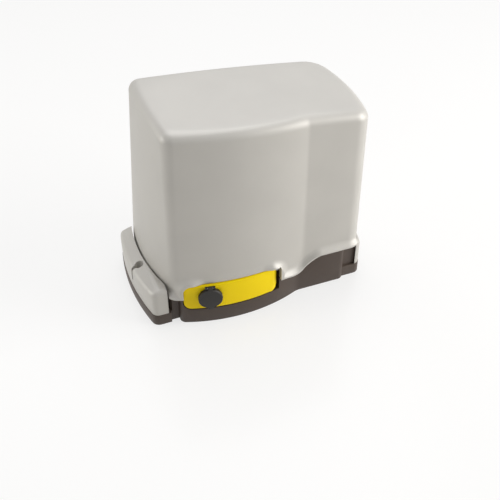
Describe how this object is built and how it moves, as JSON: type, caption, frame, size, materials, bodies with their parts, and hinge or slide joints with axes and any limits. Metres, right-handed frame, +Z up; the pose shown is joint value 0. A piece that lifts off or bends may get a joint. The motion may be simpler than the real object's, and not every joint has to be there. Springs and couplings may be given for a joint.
{
  "type": "sliding gate motor",
  "caption": "Floor-standing sliding gate drive: lift-off hood on a dark base, foot covers, swing-out release lever with lock, worm gear drive and rear rack pinion.",
  "frame": {"origin": "centre of the rectangle of anchor slots, on the ground plane under the base", "axes": "+X along the gate towards the right foot seen from the front, +Y towards the gate and pinion, +Z up"},
  "size_m": [0.34, 0.2389, 0.3099],
  "materials": {
    "silver_paint": "satin metallic silver paint on moulded plastic",
    "dark_base": "fine-textured dark brown-grey moulding",
    "yellow": "smooth bright yellow",
    "black_plastic": "black moulded plastic",
    "rubber": "soft black rubber",
    "aluminium": "die-cast, lightly machined",
    "steel": "zinc-plated steel",
    "bearing_steel": "polished bearing steel",
    "bronze": "machined bronze",
    "laminations": "stacked electrical steel",
    "copper": "varnished copper wire",
    "board_green": "green solder mask",
    "terminal_green": "green connector plastic",
    "component_black": "black component plastic"
  },
  "bodies": {
    "base_unit": {"base": "dark_base", "hood_seal": "rubber", "lever_pin": "steel", "gearbox_housing": "aluminium", "gearbox_cover": "aluminium", "gearbox_cover_bolts": "steel", "gearbox_base_bolts": "steel", "output_bearing_back": "bearing_steel", "output_bearing_front": "bearing_steel", "output_seal": "rubber", "worm_bearing_low": "bearing_steel", "worm_bearing_high": "bearing_steel", "motor_housing": "aluminium", "stator": "laminations", "stator_windings": "copper", "motor_end_cap": "aluminium", "motor_cap_bolts": "steel", "motor_bearing": "bearing_steel", "encoder_cover": "black_plastic", "board_carrier": "black_plastic", "control_board": "board_green", "board_terminals": "terminal_green", "board_relays": "component_black", "board_parts": "component_black", "board_capacitors": "component_black", "transformer_core": "laminations", "transformer_coil": "copper", "run_capacitor": "aluminium", "capacitor_clamp": "black_plastic", "cable_grommet": "rubber", "limit_switch_box": "black_plastic", "levelling_screws": "steel"},
    "hood_body": {"hood": "silver_paint"},
    "left_foot_cover": {"foot_cover_left": "silver_paint", "foot_cover_screw_left": "steel"},
    "right_foot_cover": {"foot_cover_right": "silver_paint", "foot_cover_screw_right": "steel"},
    "lever": {"release_lever": "yellow", "lever_cam": "steel", "lock_sleeve": "bearing_steel", "cap_pin": "steel"},
    "barrel": {"lock_barrel": "bearing_steel", "lock_tongue": "steel"},
    "flip_cap": {"lock_cap": "black_plastic"},
    "push_rod": {"release_rod": "steel"},
    "rotor": {"rotor_shaft": "steel", "worm": "steel", "rotor_core": "laminations", "encoder_disc": "steel"},
    "wheel": {"worm_wheel": "bronze"},
    "output": {"output_shaft": "steel", "wheel_washer": "steel", "pinion": "steel", "pinion_key": "steel", "pinion_spacer": "steel", "pinion_washer": "steel", "pinion_screw": "steel"},
    "clutch": {"clutch_cone": "steel", "clutch_pin": "steel"},
    "limit_lever": {"limit_arm": "black_plastic"}
  },
  "joints": [
    {"name": "hood_lift", "type": "slide", "parent": "base_unit", "child": "hood_body", "axis": [0, 0, 1], "range_m": [0, 0.25]},
    {"name": "left_cover_lift", "type": "slide", "parent": "base_unit", "child": "left_foot_cover", "axis": [0, 0, 1], "range_m": [0, 0.06]},
    {"name": "right_cover_lift", "type": "slide", "parent": "base_unit", "child": "right_foot_cover", "axis": [0, 0, 1], "range_m": [0, 0.06]},
    {"name": "lever_swing", "type": "hinge", "parent": "base_unit", "child": "lever", "pos_m": [0.01, -0.09527, 0.062], "axis": [0, 0, 1], "range_deg": [0, 90]},
    {"name": "rod_slide", "type": "slide", "parent": "base_unit", "child": "push_rod", "axis": [0, 1, 0], "range_m": [0, 0.006]},
    {"name": "lock_turn", "type": "hinge", "parent": "lever", "child": "barrel", "pos_m": [-0.081, -0.10507, 0.049], "axis": [-0.1952, -0.9808, 0], "range_deg": [0, 90]},
    {"name": "cap_flip", "type": "hinge", "parent": "lever", "child": "flip_cap", "pos_m": [-0.08163, -0.1082, 0.068], "axis": [-0.9808, 0.1952, 0], "range_deg": [0, 120]},
    {"name": "worm_spin", "type": "hinge", "parent": "base_unit", "child": "rotor", "pos_m": [0.06, 0.01, 0.062], "axis": [0, 0, 1], "continuous": true},
    {"name": "wheel_spin", "type": "hinge", "parent": "base_unit", "child": "wheel", "pos_m": [0.01, 0.01, 0.062], "axis": [0, 1, 0], "continuous": true},
    {"name": "output_spin", "type": "hinge", "parent": "base_unit", "child": "output", "pos_m": [0.01, 0.1, 0.062], "axis": [0, 1, 0], "continuous": true},
    {"name": "clutch_slide", "type": "slide", "parent": "output", "child": "clutch", "axis": [0, 1, 0], "range_m": [0, 0.006]},
    {"name": "limit_swing", "type": "hinge", "parent": "base_unit", "child": "limit_lever", "pos_m": [0.01, 0.058, 0.131], "axis": [0, 0, 1], "range_deg": [-30, 30], "stiffness_Nm_per_rad": 0.3}
  ],
  "couplings": [
    {"joint": "rod_slide", "follows": "lever_swing", "m_per_rad": 0.0038197},
    {"joint": "clutch_slide", "follows": "lever_swing", "m_per_rad": 0.0038197},
    {"joint": "wheel_spin", "follows": "worm_spin", "ratio": 0.03125},
    {"joint": "output_spin", "follows": "worm_spin", "ratio": 0.03125}
  ]
}
